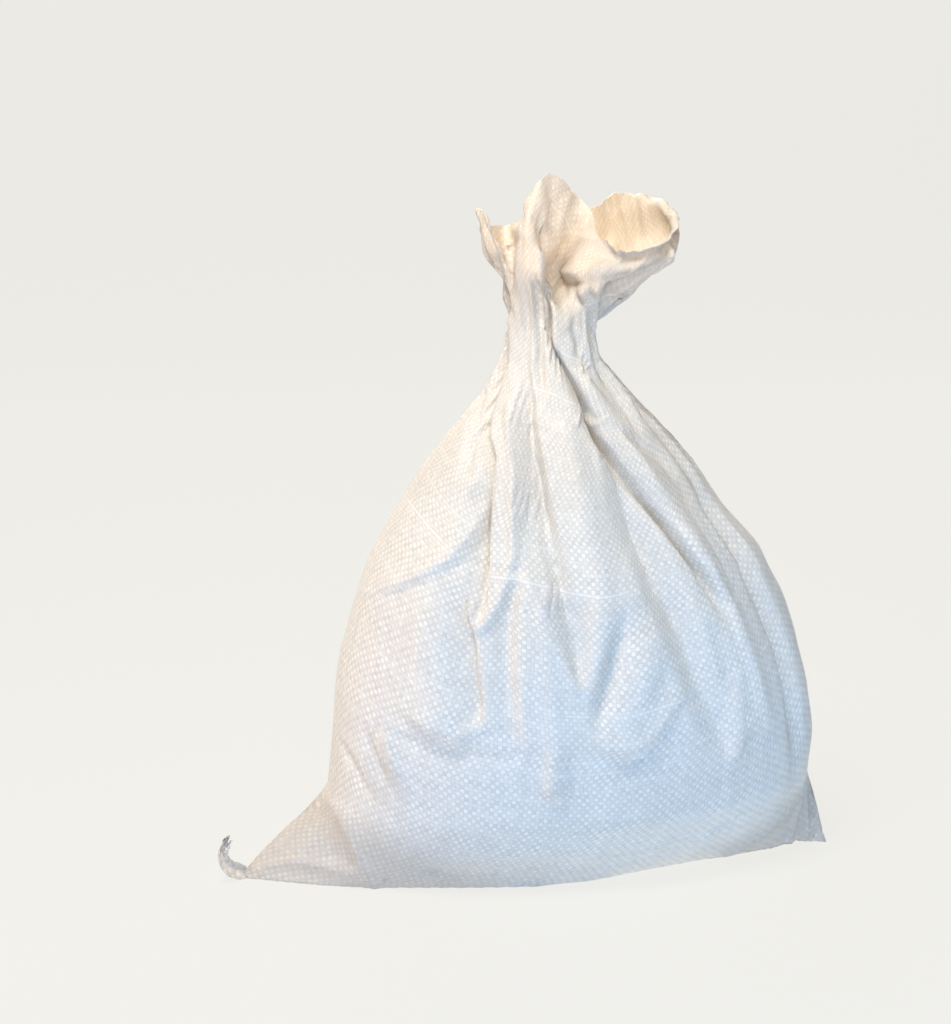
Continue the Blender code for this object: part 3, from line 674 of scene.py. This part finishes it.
def wearCloth(grid, runs):
    # how far each point of the cloth is moved along its own outward direction
    columns, rows, _ = grid.shape
    random = np.random.default_rng(11)
    roundAt = (np.arange(columns) * cloth["girth"] / columns)[:, None]
    out = np.zeros((columns, rows))

    def fromPoint(middle, up):
        return (roundAt - middle + cloth["girth"] / 2) % cloth["girth"] - cloth["girth"] / 2, runs - up

    crumpled = np.zeros((columns, rows))
    for _ in range(wear["crumples"]):
        across, up = fromPoint(random.uniform(0.0, cloth["girth"]), random.uniform(0.50, 0.72))
        angle, reach = random.uniform(0.0, math.pi), random.uniform(0.009, 0.019)
        side = across * math.cos(angle) + up * math.sin(angle)
        length = up * math.cos(angle) - across * math.sin(angle)
        fade = np.exp(-(side / reach) ** 2 - (length / reach / 1.6) ** 2)
        crumpled += random.uniform(-1.0, 1.0) * np.abs(side) * fade
    out += crumpled * wear["crumpleFold"] * softStep(0.40, 0.46, grid[:, :, 2])
    for _ in range(wear["stones"]):
        across, up = fromPoint(random.uniform(0.0, cloth["girth"]), random.uniform(0.12, 0.38))
        reach = random.uniform(0.016, 0.030)
        out += wear["stoneOut"] * random.uniform(0.2, 1.0) * np.exp(-(across ** 2 + up ** 2) / reach ** 2)
    ends = 1.0 - softStep(0.09, 0.12, grid[:, :, 2]) + softStep(0.42, 0.44, grid[:, :, 2])
    front = (np.arange(columns) < columns // 2)[:, None] * ends
    for line, depth, width in wear["creases"]:
        closest = np.full((columns, rows), 9.0)
        for start, end in zip(line, line[1:]):
            start, step = np.array(start) / 1000, (np.array(end) - np.array(start)) / 1000
            gap = grid[:, :, ::2] - start
            share = np.clip(gap @ step / (step @ step), 0.0, 1.0)
            closest = np.minimum(closest, np.linalg.norm(gap - share[:, :, None] * step, axis=2))
        out += front * depth / 1000 * np.clip(1.0 - closest * 1000 / width, 0.0, None) ** 1.3
    return out


def rollLip(grid, runs):
    # the cup's edge curls outwards and down; elsewhere the rim is only cut a little unevenly
    columns = len(grid)
    shares = np.arange(columns) / columns
    curl = (softStep(0.20, 0.27, shares) * (1.0 - softStep(0.53, 0.60, shares)))[:, None]
    spread = np.arange(-7, 8)
    up = sum(np.roll(grid[:, -1] - grid[:, -4], k, axis=0) for k in spread)
    up /= np.linalg.norm(up, axis=1)[:, None]
    outward = np.cross(np.roll(grid[:, -1], -7, axis=0) - np.roll(grid[:, -1], 7, axis=0), up)
    outward /= np.linalg.norm(outward, axis=1)[:, None]
    random = np.random.default_rng(5)
    uneven = np.convolve(random.uniform(-1.0, 1.0, columns + 4), np.ones(5) / 5, mode="valid")[:, None]
    length = wear["lip"] * curl * (1.0 + 0.5 * uneven) + 0.0012 + 0.0014 * uneven
    more, moreRuns = [], []
    for share in (0.25, 0.5, 0.75, 1.0):
        turned = wear["lipTurn"] * curl * share + 1e-4
        radius = length * share / turned
        more.append(grid[:, -1] + radius * (np.sin(turned) * up + (1.0 - np.cos(turned)) * outward))
        moreRuns.append(runs[:, -1] + length[:, 0] * share)
    return (np.concatenate([grid, np.stack(more, axis=1)], axis=1),
            np.concatenate([runs, np.stack(moreRuns, axis=1)], axis=1))


tapeRuns = columnLengths[:, None] * np.linspace(0.0, 1.0, cloth["rows"])
# the part that lies flat on the ground keeps its drawn place
lying = 1.0 - softStep(0.0, 0.012, drawn[:, :, 2])
target = target + (drawn - target) * lying[:, :, None]
target = target + outwardNormals(target) * wearCloth(target, tapeRuns)[:, :, None]
flatPoints = target.reshape(-1, 3)
leaveRubble(flatPoints)
np.maximum(flatPoints[:, 2], 0.0, out=flatPoints[:, 2])
target, tapeRuns = rollLip(flatPoints.reshape(target.shape), tapeRuns)
print("creases and lumps laid on")


def lightBehind(points):
    # 1 where the cloth stands clear of the rubble and light comes through it, 0 where rubble lies behind it
    clear = np.array([rubbleTree.find_nearest(point)[3] for point in points.tolist()])
    corners = softStep(0.004, 0.022, clear) * (1.0 - softStep(0.09, 0.14, points[:, 2]))
    top = 0.25 * softStep(0.27, 0.33, points[:, 2]) + 0.75 * softStep(0.41, 0.47, points[:, 2])
    return np.maximum(corners, top)


def clothMesh(name, grid, runs):
    # one layer of faces; the mouth, where both sides and the cut rim are seen, gets its inner side too
    columns, rows, _ = grid.shape
    inner = cloth["innerRows"]
    lining = (grid - outwardNormals(grid) * cloth["thickness"])[:, -inner:]
    outerAt = np.arange(columns * rows).reshape(columns, rows)
    innerAt = columns * rows + np.arange(columns * inner).reshape(columns, inner)

    def quads(index, turned):
        following = np.roll(index, -1, axis=0)
        corners = [index[:, :-1], following[:, :-1], following[:, 1:], index[:, 1:]]
        return np.stack(corners[::-1] if turned else corners, axis=2).reshape(-1, 4)

    rimAt = np.stack([outerAt[:, -1], innerAt[:, -1]], axis=1)
    faces = np.concatenate([quads(outerAt, False), quads(innerAt, True), quads(rimAt, False)])
    mesh = bpy.data.meshes.new(name)
    points = np.concatenate([grid.reshape(-1, 3), lining.reshape(-1, 3)])
    mesh.from_pydata(points.tolist(), [], faces.tolist())
    layer = mesh.uv_layers.new(name="weaveMetres")
    runs = np.concatenate([runs, runs[:1]])

    def places(firstRow, lastRow, turned):
        corners = ((0, 0), (1, 0), (1, 1), (0, 1))
        uvs = np.empty((columns, lastRow - firstRow, 4, 2))
        for corner, (di, dj) in enumerate(corners[::-1] if turned else corners):
            i = np.arange(columns)[:, None] + di
            j = np.arange(firstRow, lastRow)[None, :] + dj
            uvs[:, :, corner, 0] = i * cloth["girth"] / columns + 0 * j
            uvs[:, :, corner, 1] = runs[i, np.minimum(j, rows - 1)]
        return uvs.reshape(-1, 2)

    uvs = np.concatenate([places(0, rows - 1, False), places(rows - inner, rows - 1, True),
                          places(rows - 1, rows, False)])
    layer.data.foreach_set("uv", uvs.reshape(-1))
    clear = lightBehind(grid.reshape(-1, 3)).reshape(columns, rows)
    both = np.concatenate([clear.reshape(-1), clear[:, -inner:].reshape(-1)])
    mesh.attributes.new("lightBehind", "FLOAT", "POINT").data.foreach_set("value", both)
    mesh.update()
    return mesh


# Material

weave = {
    "tape": 0.0032,          # from one woven tape to the next
    "warp": "#fff7ea",       # tapes that run up the sack, painted a little brighter than the weft as a painted sheen
    "weft": "#efe8dd",       # tapes that run round it, the same white painted a little darker: painted sheen
    "gap": "#bcb9b2",        # the shadow between tapes
    "relief": 0.00025,       # how far a tape rises where it crosses over
    "roughness": (0.28, 0.46),  # from one part of the cloth to another
    "anisotropy": 0.45,      # drawn tape is glossier across than along
    "tapeShade": (0.955, 1.03),  # how much whole tapes differ
    "crossShade": (0.91, 1.03),  # and the places where they cross
    "proudFrom": 0.955,      # share of the wefts that don't stand proud
    "glow": (0.08, 0.36),    # share of light that comes through: over rubble, and with nothing behind
    "through": "#fff0d8",    # the colour that light takes on the way
    "proudHighlight": "#fffaf2",      # wefts that stand up from the cloth; the painted highlight along their crests
}


def wovenPolypropylene():
    # flat slit tapes of white polypropylene, woven one over one: a fine checker that shines a little
    material = bpy.data.materials.new("wovenPolypropyleneTape")
    material.use_nodes = True
    tree = material.node_tree
    add = partial(addNode, tree)
    shader = tree.nodes["Principled BSDF"]
    finish = tree.nodes["Material Output"]
    place = add("UVMap", {"uv_map": "weaveMetres"})
    count = 1 / weave["tape"]
    # tapes wander a little, as loosely woven ones do
    drift = add("TexNoise", {"Scale": 26.0, "Detail": 2.0}, {"Vector": (place, 0)})
    tapes = add("VectorMath", {"operation": "MULTIPLY_ADD", 1: (count, count, 0)},
                {0: (place, 0), 2: (drift, "Color")})
    cell = add("VectorMath", {"operation": "FLOOR"}, {0: (tapes, 0)})
    part = add("VectorMath", {"operation": "FRACTION"}, {0: (tapes, 0)})
    fromMiddle = add("VectorMath", {"operation": "MULTIPLY_ADD", 1: (2, 2, 2), 2: (-1, -1, -1)},
                     {0: (part, 0)})
    # a tape is flat with rounded edges across, and bows up where it crosses over the other
    times, less = {"operation": "MULTIPLY"}, {"operation": "SUBTRACT", 0: (1, 1, 1)}
    square = add("VectorMath", times, {0: (fromMiddle, 0), 1: (fromMiddle, 0)})
    fourth = add("VectorMath", times, {0: (square, 0), 1: (square, 0)})
    sixth = add("VectorMath", times, {0: (fourth, 0), 1: (square, 0)})
    arch = add("VectorMath", less, {1: (fourth, 0)})
    edge = add("VectorMath", less, {1: (sixth, 0)})
    archParts = add("SeparateXYZ", None, {0: (arch, 0)})
    edgeParts = add("SeparateXYZ", None, {0: (edge, 0)})
    warpUp = add("Math", times, {0: (archParts, "Y"), 1: (edgeParts, "X")})
    weftUp = add("Math", times, {0: (archParts, "X"), 1: (edgeParts, "Y")})
    cellParts = add("SeparateXYZ", None, {0: (cell, 0)})
    cellSum = add("Math", {"operation": "ADD"}, {0: (cellParts, "X"), 1: (cellParts, "Y")})
    over = add("Math", {"operation": "PINGPONG", 1: 1.0}, {0: (cellSum, 0)})
    height = add("Mix", {"data_type": "FLOAT"}, {"Factor": (over, 0), 2: (weftUp, 0), 3: (warpUp, 0)})

    # every tape has its own shade, and a few stand proud for part of their length
    warpShade = add("TexWhiteNoise", {"noise_dimensions": "1D"}, {"W": (cellParts, "X")})
    weftShade = add("TexWhiteNoise", {"noise_dimensions": "1D"}, {"W": (cellParts, "Y")})
    shade = add("Mix", {"data_type": "FLOAT"},
                {"Factor": (over, 0), 2: (weftShade, "Value"), 3: (warpShade, "Value")})
    low, high = weave["tapeShade"]
    shadeRange = add("MapRange", {"To Min": low, "To Max": high}, {"Value": (shade, 0)})
    # warp and weft are the same white tape; the brighter warp and darker weft are painted sheen
    tapeColoursAndSheen = {"data_type": "RGBA", 6: linearColour(weave["weft"]), 7: linearColour(weave["warp"])}
    tapeColourAndSheen = add("Mix", tapeColoursAndSheen, {"Factor": (over, 0)})
    gapShare = add("MapRange", {"From Max": 0.24}, {"Value": (height, 0)})
    withGaps = add("Mix", {"data_type": "RGBA", 6: linearColour(weave["gap"])},
                   {"Factor": (gapShare, 0), 7: (tapeColourAndSheen, 2)})
    cellNoise = add("TexWhiteNoise", {"noise_dimensions": "2D"}, {"Vector": (cell, 0)})
    low, high = weave["crossShade"]
    cellShade = add("MapRange", {"To Min": low, "To Max": high}, {"Value": (cellNoise, "Value")})
    bothShades = add("Math", times, {0: (shadeRange, 0), 1: (cellShade, 0)})
    shaded = add("VectorMath", {"operation": "SCALE"}, {0: (withGaps, 2), "Scale": (bothShades, 0)})
    # the proud wefts: a few rows stand up for part of their length, and a thin line along their crests is
    # painted bright as a painted highlight
    proudRow = add("Math", {"operation": "GREATER_THAN", 1: weave["proudFrom"]}, {0: (weftShade, "Value")})
    patches = add("TexNoise", {"Scale": 8.0, "Detail": 1.0}, {"Vector": (place, 0)})
    proudPart = add("Math", {"operation": "GREATER_THAN", 1: 0.52}, {0: (patches, 0)})
    proudLine = add("MapRange", {"From Min": 0.72, "From Max": 0.98, "To Max": 0.6},
                    {"Value": (archParts, "Y")})
    proudHere = add("Math", times, {0: (proudRow, 0), 1: (proudPart, 0)})
    proudHighlight = add("Math", times, {0: (proudHere, 0), 1: (proudLine, 0)})
    withProudHighlight = add("Mix", {"data_type": "RGBA", 7: linearColour(weave["proudHighlight"])},
                    {"Factor": (proudHighlight, 0), 6: (shaded, 0)})
    tree.links.new(withProudHighlight.outputs[2], shader.inputs["Base Color"])
    raised = add("Math", {"operation": "ADD"}, {0: (height, 0), 1: (proudHighlight, 0)})

    stretch = add("TexNoise", {"Scale": 9.0, "Detail": 4.0}, {"Vector": (place, 0)})
    least, most = weave["roughness"]
    glossRange = {"From Min": 0.3, "From Max": 0.7, "To Min": least, "To Max": most}
    gloss = add("MapRange", glossRange, {"Value": (stretch, 0)})
    tree.links.new(gloss.outputs[0], shader.inputs["Roughness"])
    # the loose cloth of the mouth and the corners is crinkled, and light comes through it
    clear = add("Attribute", {"attribute_name": "lightBehind"})
    scrunch = add("TexNoise", {"Scale": 85.0, "Detail": 4.0, "Roughness": 0.6}, {"Vector": (place, 0)})
    scrunchStrength = add("MapRange", {"To Min": 0.05, "To Max": 0.6}, {"Value": (clear, "Fac")})
    crinkle = add("Bump", {"Distance": 0.0025}, {"Height": (scrunch, 0), "Strength": (scrunchStrength, 0)})
    bump = add("Bump", {"Strength": 0.9, "Distance": weave["relief"]},
               {"Height": (raised, 0), "Normal": (crinkle, 0)})
    tree.links.new(bump.outputs[0], shader.inputs["Normal"])
    shader.inputs["IOR"].default_value = 1.49
    along = add("Tangent", {"direction_type": "UV_MAP", "uv_map": "weaveMetres"})
    tree.links.new(along.outputs[0], shader.inputs["Tangent"])
    shader.inputs["Anisotropic"].default_value = weave["anisotropy"]
    # the drawn tape's sheen runs along it, so it turns from warp to weft
    turned = add("Math", {"operation": "MULTIPLY", 1: 0.25}, {0: (over, 0)})
    tree.links.new(turned.outputs[0], shader.inputs["Anisotropic Rotation"])
    glow = add("BsdfTranslucent", {"Color": linearColour(weave["through"])})
    through = add("MapRange", {"To Min": weave["glow"][0], "To Max": weave["glow"][1]},
                  {"Value": (clear, "Fac")})
    both = add("MixShader", None, {0: (through, 0), 1: (shader, 0), 2: (glow, 0)})
    tree.links.new(both.outputs[0], finish.inputs["Surface"])
    return material


def crushedRubble():
    # broken brick and concrete: dull, rough and mottled grey brown
    material = bpy.data.materials.new("crushedRubble")
    material.use_nodes = True
    tree = material.node_tree
    add = partial(addNode, tree)
    shader = tree.nodes["Principled BSDF"]
    shader.inputs["Roughness"].default_value = 0.9
    places = add("TexCoord")
    stones = add("TexVoronoi", {"Scale": 60.0}, {"Vector": (places, "Object")})
    ramp = add("ValToRGB", None, {"Fac": (stones, "Color")})
    ramp.color_ramp.elements[0].color = linearColour("#6d6459")
    ramp.color_ramp.elements[1].color = linearColour("#a79a88")
    bump = add("Bump", {"Strength": 0.8, "Distance": 0.01}, {"Height": (stones, "Distance")})
    tree.links.new(ramp.outputs["Color"], shader.inputs["Base Color"])
    tree.links.new(bump.outputs["Normal"], shader.inputs["Normal"])
    return material


hemTail = {
    # the middle line of the curled end of the bottom hem, and which way its width goes, in metres
    "route": ((-0.262, -0.004, 0.005), (-0.270, -0.008, 0.007), (-0.278, -0.011, 0.011),
              (-0.283, -0.011, 0.018), (-0.283, -0.008, 0.025), (-0.279, -0.004, 0.031),
              (-0.275, -0.003, 0.036)),
    "widths": (0.010, 0.013, 0.012, 0.010, 0.008, 0.007, 0.004),
    "middle": (-0.271, -0.004, 0.021),
    "curl": 0.0035,
    "length": 0.050,
    "thickness": 0.0005,
}


def tailMesh(name, along=36, across=9):
    # a scrap of doubled tape, cupped and scrunched, with its end frayed into tapes of unequal length
    random = np.random.default_rng(3)
    at = np.linspace(0.0, 1.0, len(hemTail["route"]))
    frayed = 1.0 - random.uniform(0.0, 0.22, across)
    grid, runs = np.zeros((across, along, 3)), np.zeros((across, along))
    for j in range(across):
        share = np.linspace(0.0, frayed[j], along)
        line = [np.interp(share, at, [p[k] for p in hemTail["route"]]) for k in range(3)]
        line = [np.convolve(np.pad(part, 3, mode="edge"), np.ones(7) / 7, mode="valid") for part in line]
        line = np.stack(line, axis=1)
        width = np.interp(share, at, hemTail["widths"])
        away = line - hemTail["middle"]
        away /= np.linalg.norm(away, axis=1)[:, None]
        off = j / (across - 1) - 0.5
        grid[j] = line + away * (width * off)[:, None]
        scrunch = 0.0012 * np.sin(share * 31.0 + j * 1.7) * share
        grid[j, :, 1] += hemTail["curl"] * (1.0 - 4.0 * off * off) + scrunch
        grid[j, :, 2] = np.maximum(grid[j, :, 2], 0.001)
        runs[j] = share * hemTail["length"]
    mesh = bpy.data.meshes.new(name)
    index = np.arange(across * along).reshape(across, along)
    corners = [index[:-1, :-1], index[:-1, 1:], index[1:, 1:], index[1:, :-1]]
    faces = np.stack(corners, axis=2).reshape(-1, 4)
    mesh.from_pydata(grid.reshape(-1, 3).tolist(), [], faces.tolist())
    layer = mesh.uv_layers.new(name="weaveMetres")
    columns = np.repeat(np.arange(across)[:, None] * 0.0012, along, axis=1)
    places = np.stack([columns, runs], axis=2).reshape(-1, 2)
    layer.data.foreach_set("uv", places[faces.reshape(-1)].reshape(-1))
    mesh.attributes.new("lightBehind", "FLOAT", "POINT").data.foreach_set("value", np.ones(across * along))
    mesh.update()
    return mesh


def addPiece(name, mesh, material):
    piece = bpy.data.objects.new(name, mesh)
    bpy.context.scene.collection.objects.link(piece)
    mesh.materials.append(material)
    mesh.shade_smooth()
    return piece


tapeCloth = wovenPolypropylene()
sackCloth = addPiece("sackCloth", clothMesh("sackCloth", target, tapeRuns), tapeCloth)
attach(sackCloth, "root")
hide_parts("sack")
tail = addPiece("hemTail", tailMesh("hemTail"), tapeCloth)
thick = tail.modifiers.new("tape thickness", "SOLIDIFY")
thick.thickness = hemTail["thickness"]
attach(tail, "root")
rubble = bpy.data.objects["fill"]
rubble.data.materials.clear()
rubble.data.materials.append(crushedRubble())
print("sack dressed")


# Floor and light

stage = {
    "paper": "#4c4c4b",
    "glow": "#f0efea",
    "glowStrength": 0.91,
    # soft lights: place, aim, size, power, colour and spread in degrees
    "lights": {
        # a large one high on the left, for what faces up
        "warmOverhead": ((-0.58, -0.48, 1.86), (0.0, 0.0, 0.3), (0.65, 0.65), 28.6, "#faf8f7", 180),
        # strips just off the ground, for the upright sides
        "coolFront": ((0.02, -0.72, 0.04), (0.14, -0.10, 0.06), (1.4, 0.07), 3.4, "#46aeff", 180),
        "warmLeft": ((-0.98, -0.10, 0.05), (0.0, 0.0, 0.10), (1.0, 0.09), 2.3, "#ffdcc8", 180),
        "coolRight": ((0.95, -0.50, 0.05), (0.20, -0.05, 0.08), (0.7, 0.09), 1.8, "#8ccaff", 180),
        # narrow ones at the mouth: through the thin cloth from behind, and into the cup from the front
        "warmBehind": ((0.20, 1.25, 1.05), (0.01, 0.0, 0.49), (0.3, 0.3), 0.62, "#fff4e6", 24),
        "warmMouth": ((-0.15, -1.05, 1.02), (0.0, 0.0, 0.50), (0.35, 0.25), 0.3, "#fffaf2", 40),
    },
    "skyLow": "#7f90a6",
    "skyHigh": "#fff3e2",
    "skyStrength": 0.15,
}


def makeStage():
    # a paper sweep: a level floor that bends up into a wall behind
    mesh = bpy.data.meshes.new("studioFloor")
    work = bmesh.new()
    profile = [(-3.0, 0.0), (2.2, 0.0)]
    bend = np.linspace(0.1, math.pi / 2, 12)
    profile += [(2.2 + 0.9 * math.sin(a), 0.9 - 0.9 * math.cos(a)) for a in bend]
    profile += [(3.1, 4.0)]
    rows = [[work.verts.new((x, y, z - 0.0002)) for y, z in profile] for x in (-4.0, 4.0)]
    for i in range(len(profile) - 1):
        work.faces.new((rows[0][i], rows[1][i], rows[1][i + 1], rows[0][i + 1]))
    work.to_mesh(mesh)
    work.free()
    mesh.shade_smooth()
    floor = bpy.data.objects.new("studioFloor", mesh)
    bpy.context.scene.collection.objects.link(floor)
    material = bpy.data.materials.new("palePaper")
    material.use_nodes = True
    shader = material.node_tree.nodes["Principled BSDF"]
    shader.inputs["Base Color"].default_value = linearColour(stage["paper"])
    shader.inputs["Roughness"].default_value = 0.95
    # the paper glows a little, which keeps it even out to the picture's edges
    shader.inputs["Emission Color"].default_value = linearColour(stage["glow"])
    shader.inputs["Emission Strength"].default_value = stage["glowStrength"]
    mesh.materials.append(material)


def softLight(name, place, aim, size, power, colour, spread):
    data = bpy.data.lights.new(name, "AREA")
    data.shape = "RECTANGLE"
    data.size, data.size_y = size
    data.energy = power
    data.spread = math.radians(spread)
    data.color = linearColour(colour)[:3]
    light = bpy.data.objects.new(name, data)
    light.location = place
    direction = np.array(aim) - np.array(place)
    flat = math.hypot(direction[0], direction[1])
    across = math.atan2(direction[1], direction[0]) - math.pi / 2
    light.rotation_euler = (math.atan2(flat, -direction[2]), 0.0, across)
    bpy.context.scene.collection.objects.link(light)


def makeSky():
    # warm room light from above, dimmer and cooler towards the ground
    world = bpy.data.worlds.new("studioWorld")
    world.use_nodes = True
    tree = world.node_tree
    add = partial(addNode, tree)
    back = tree.nodes["Background"]
    direction = add("TexCoord")
    parts = add("SeparateXYZ", None, {0: (direction, "Generated")})
    share = add("MapRange", {"From Min": 0.0, "From Max": 0.7}, {"Value": (parts, "Z")})
    colours = {"data_type": "RGBA", 6: linearColour(stage["skyLow"]), 7: linearColour(stage["skyHigh"])}
    colour = add("Mix", colours, {"Factor": (share, 0)})
    tree.links.new(colour.outputs[2], back.inputs["Color"])
    back.inputs["Strength"].default_value = stage["skyStrength"]
    bpy.context.scene.world = world


makeStage()
for name, settings in stage["lights"].items():
    softLight(name, *settings)
makeSky()
bpy.context.scene.view_settings.view_transform = "Standard"
print("floor and light set")
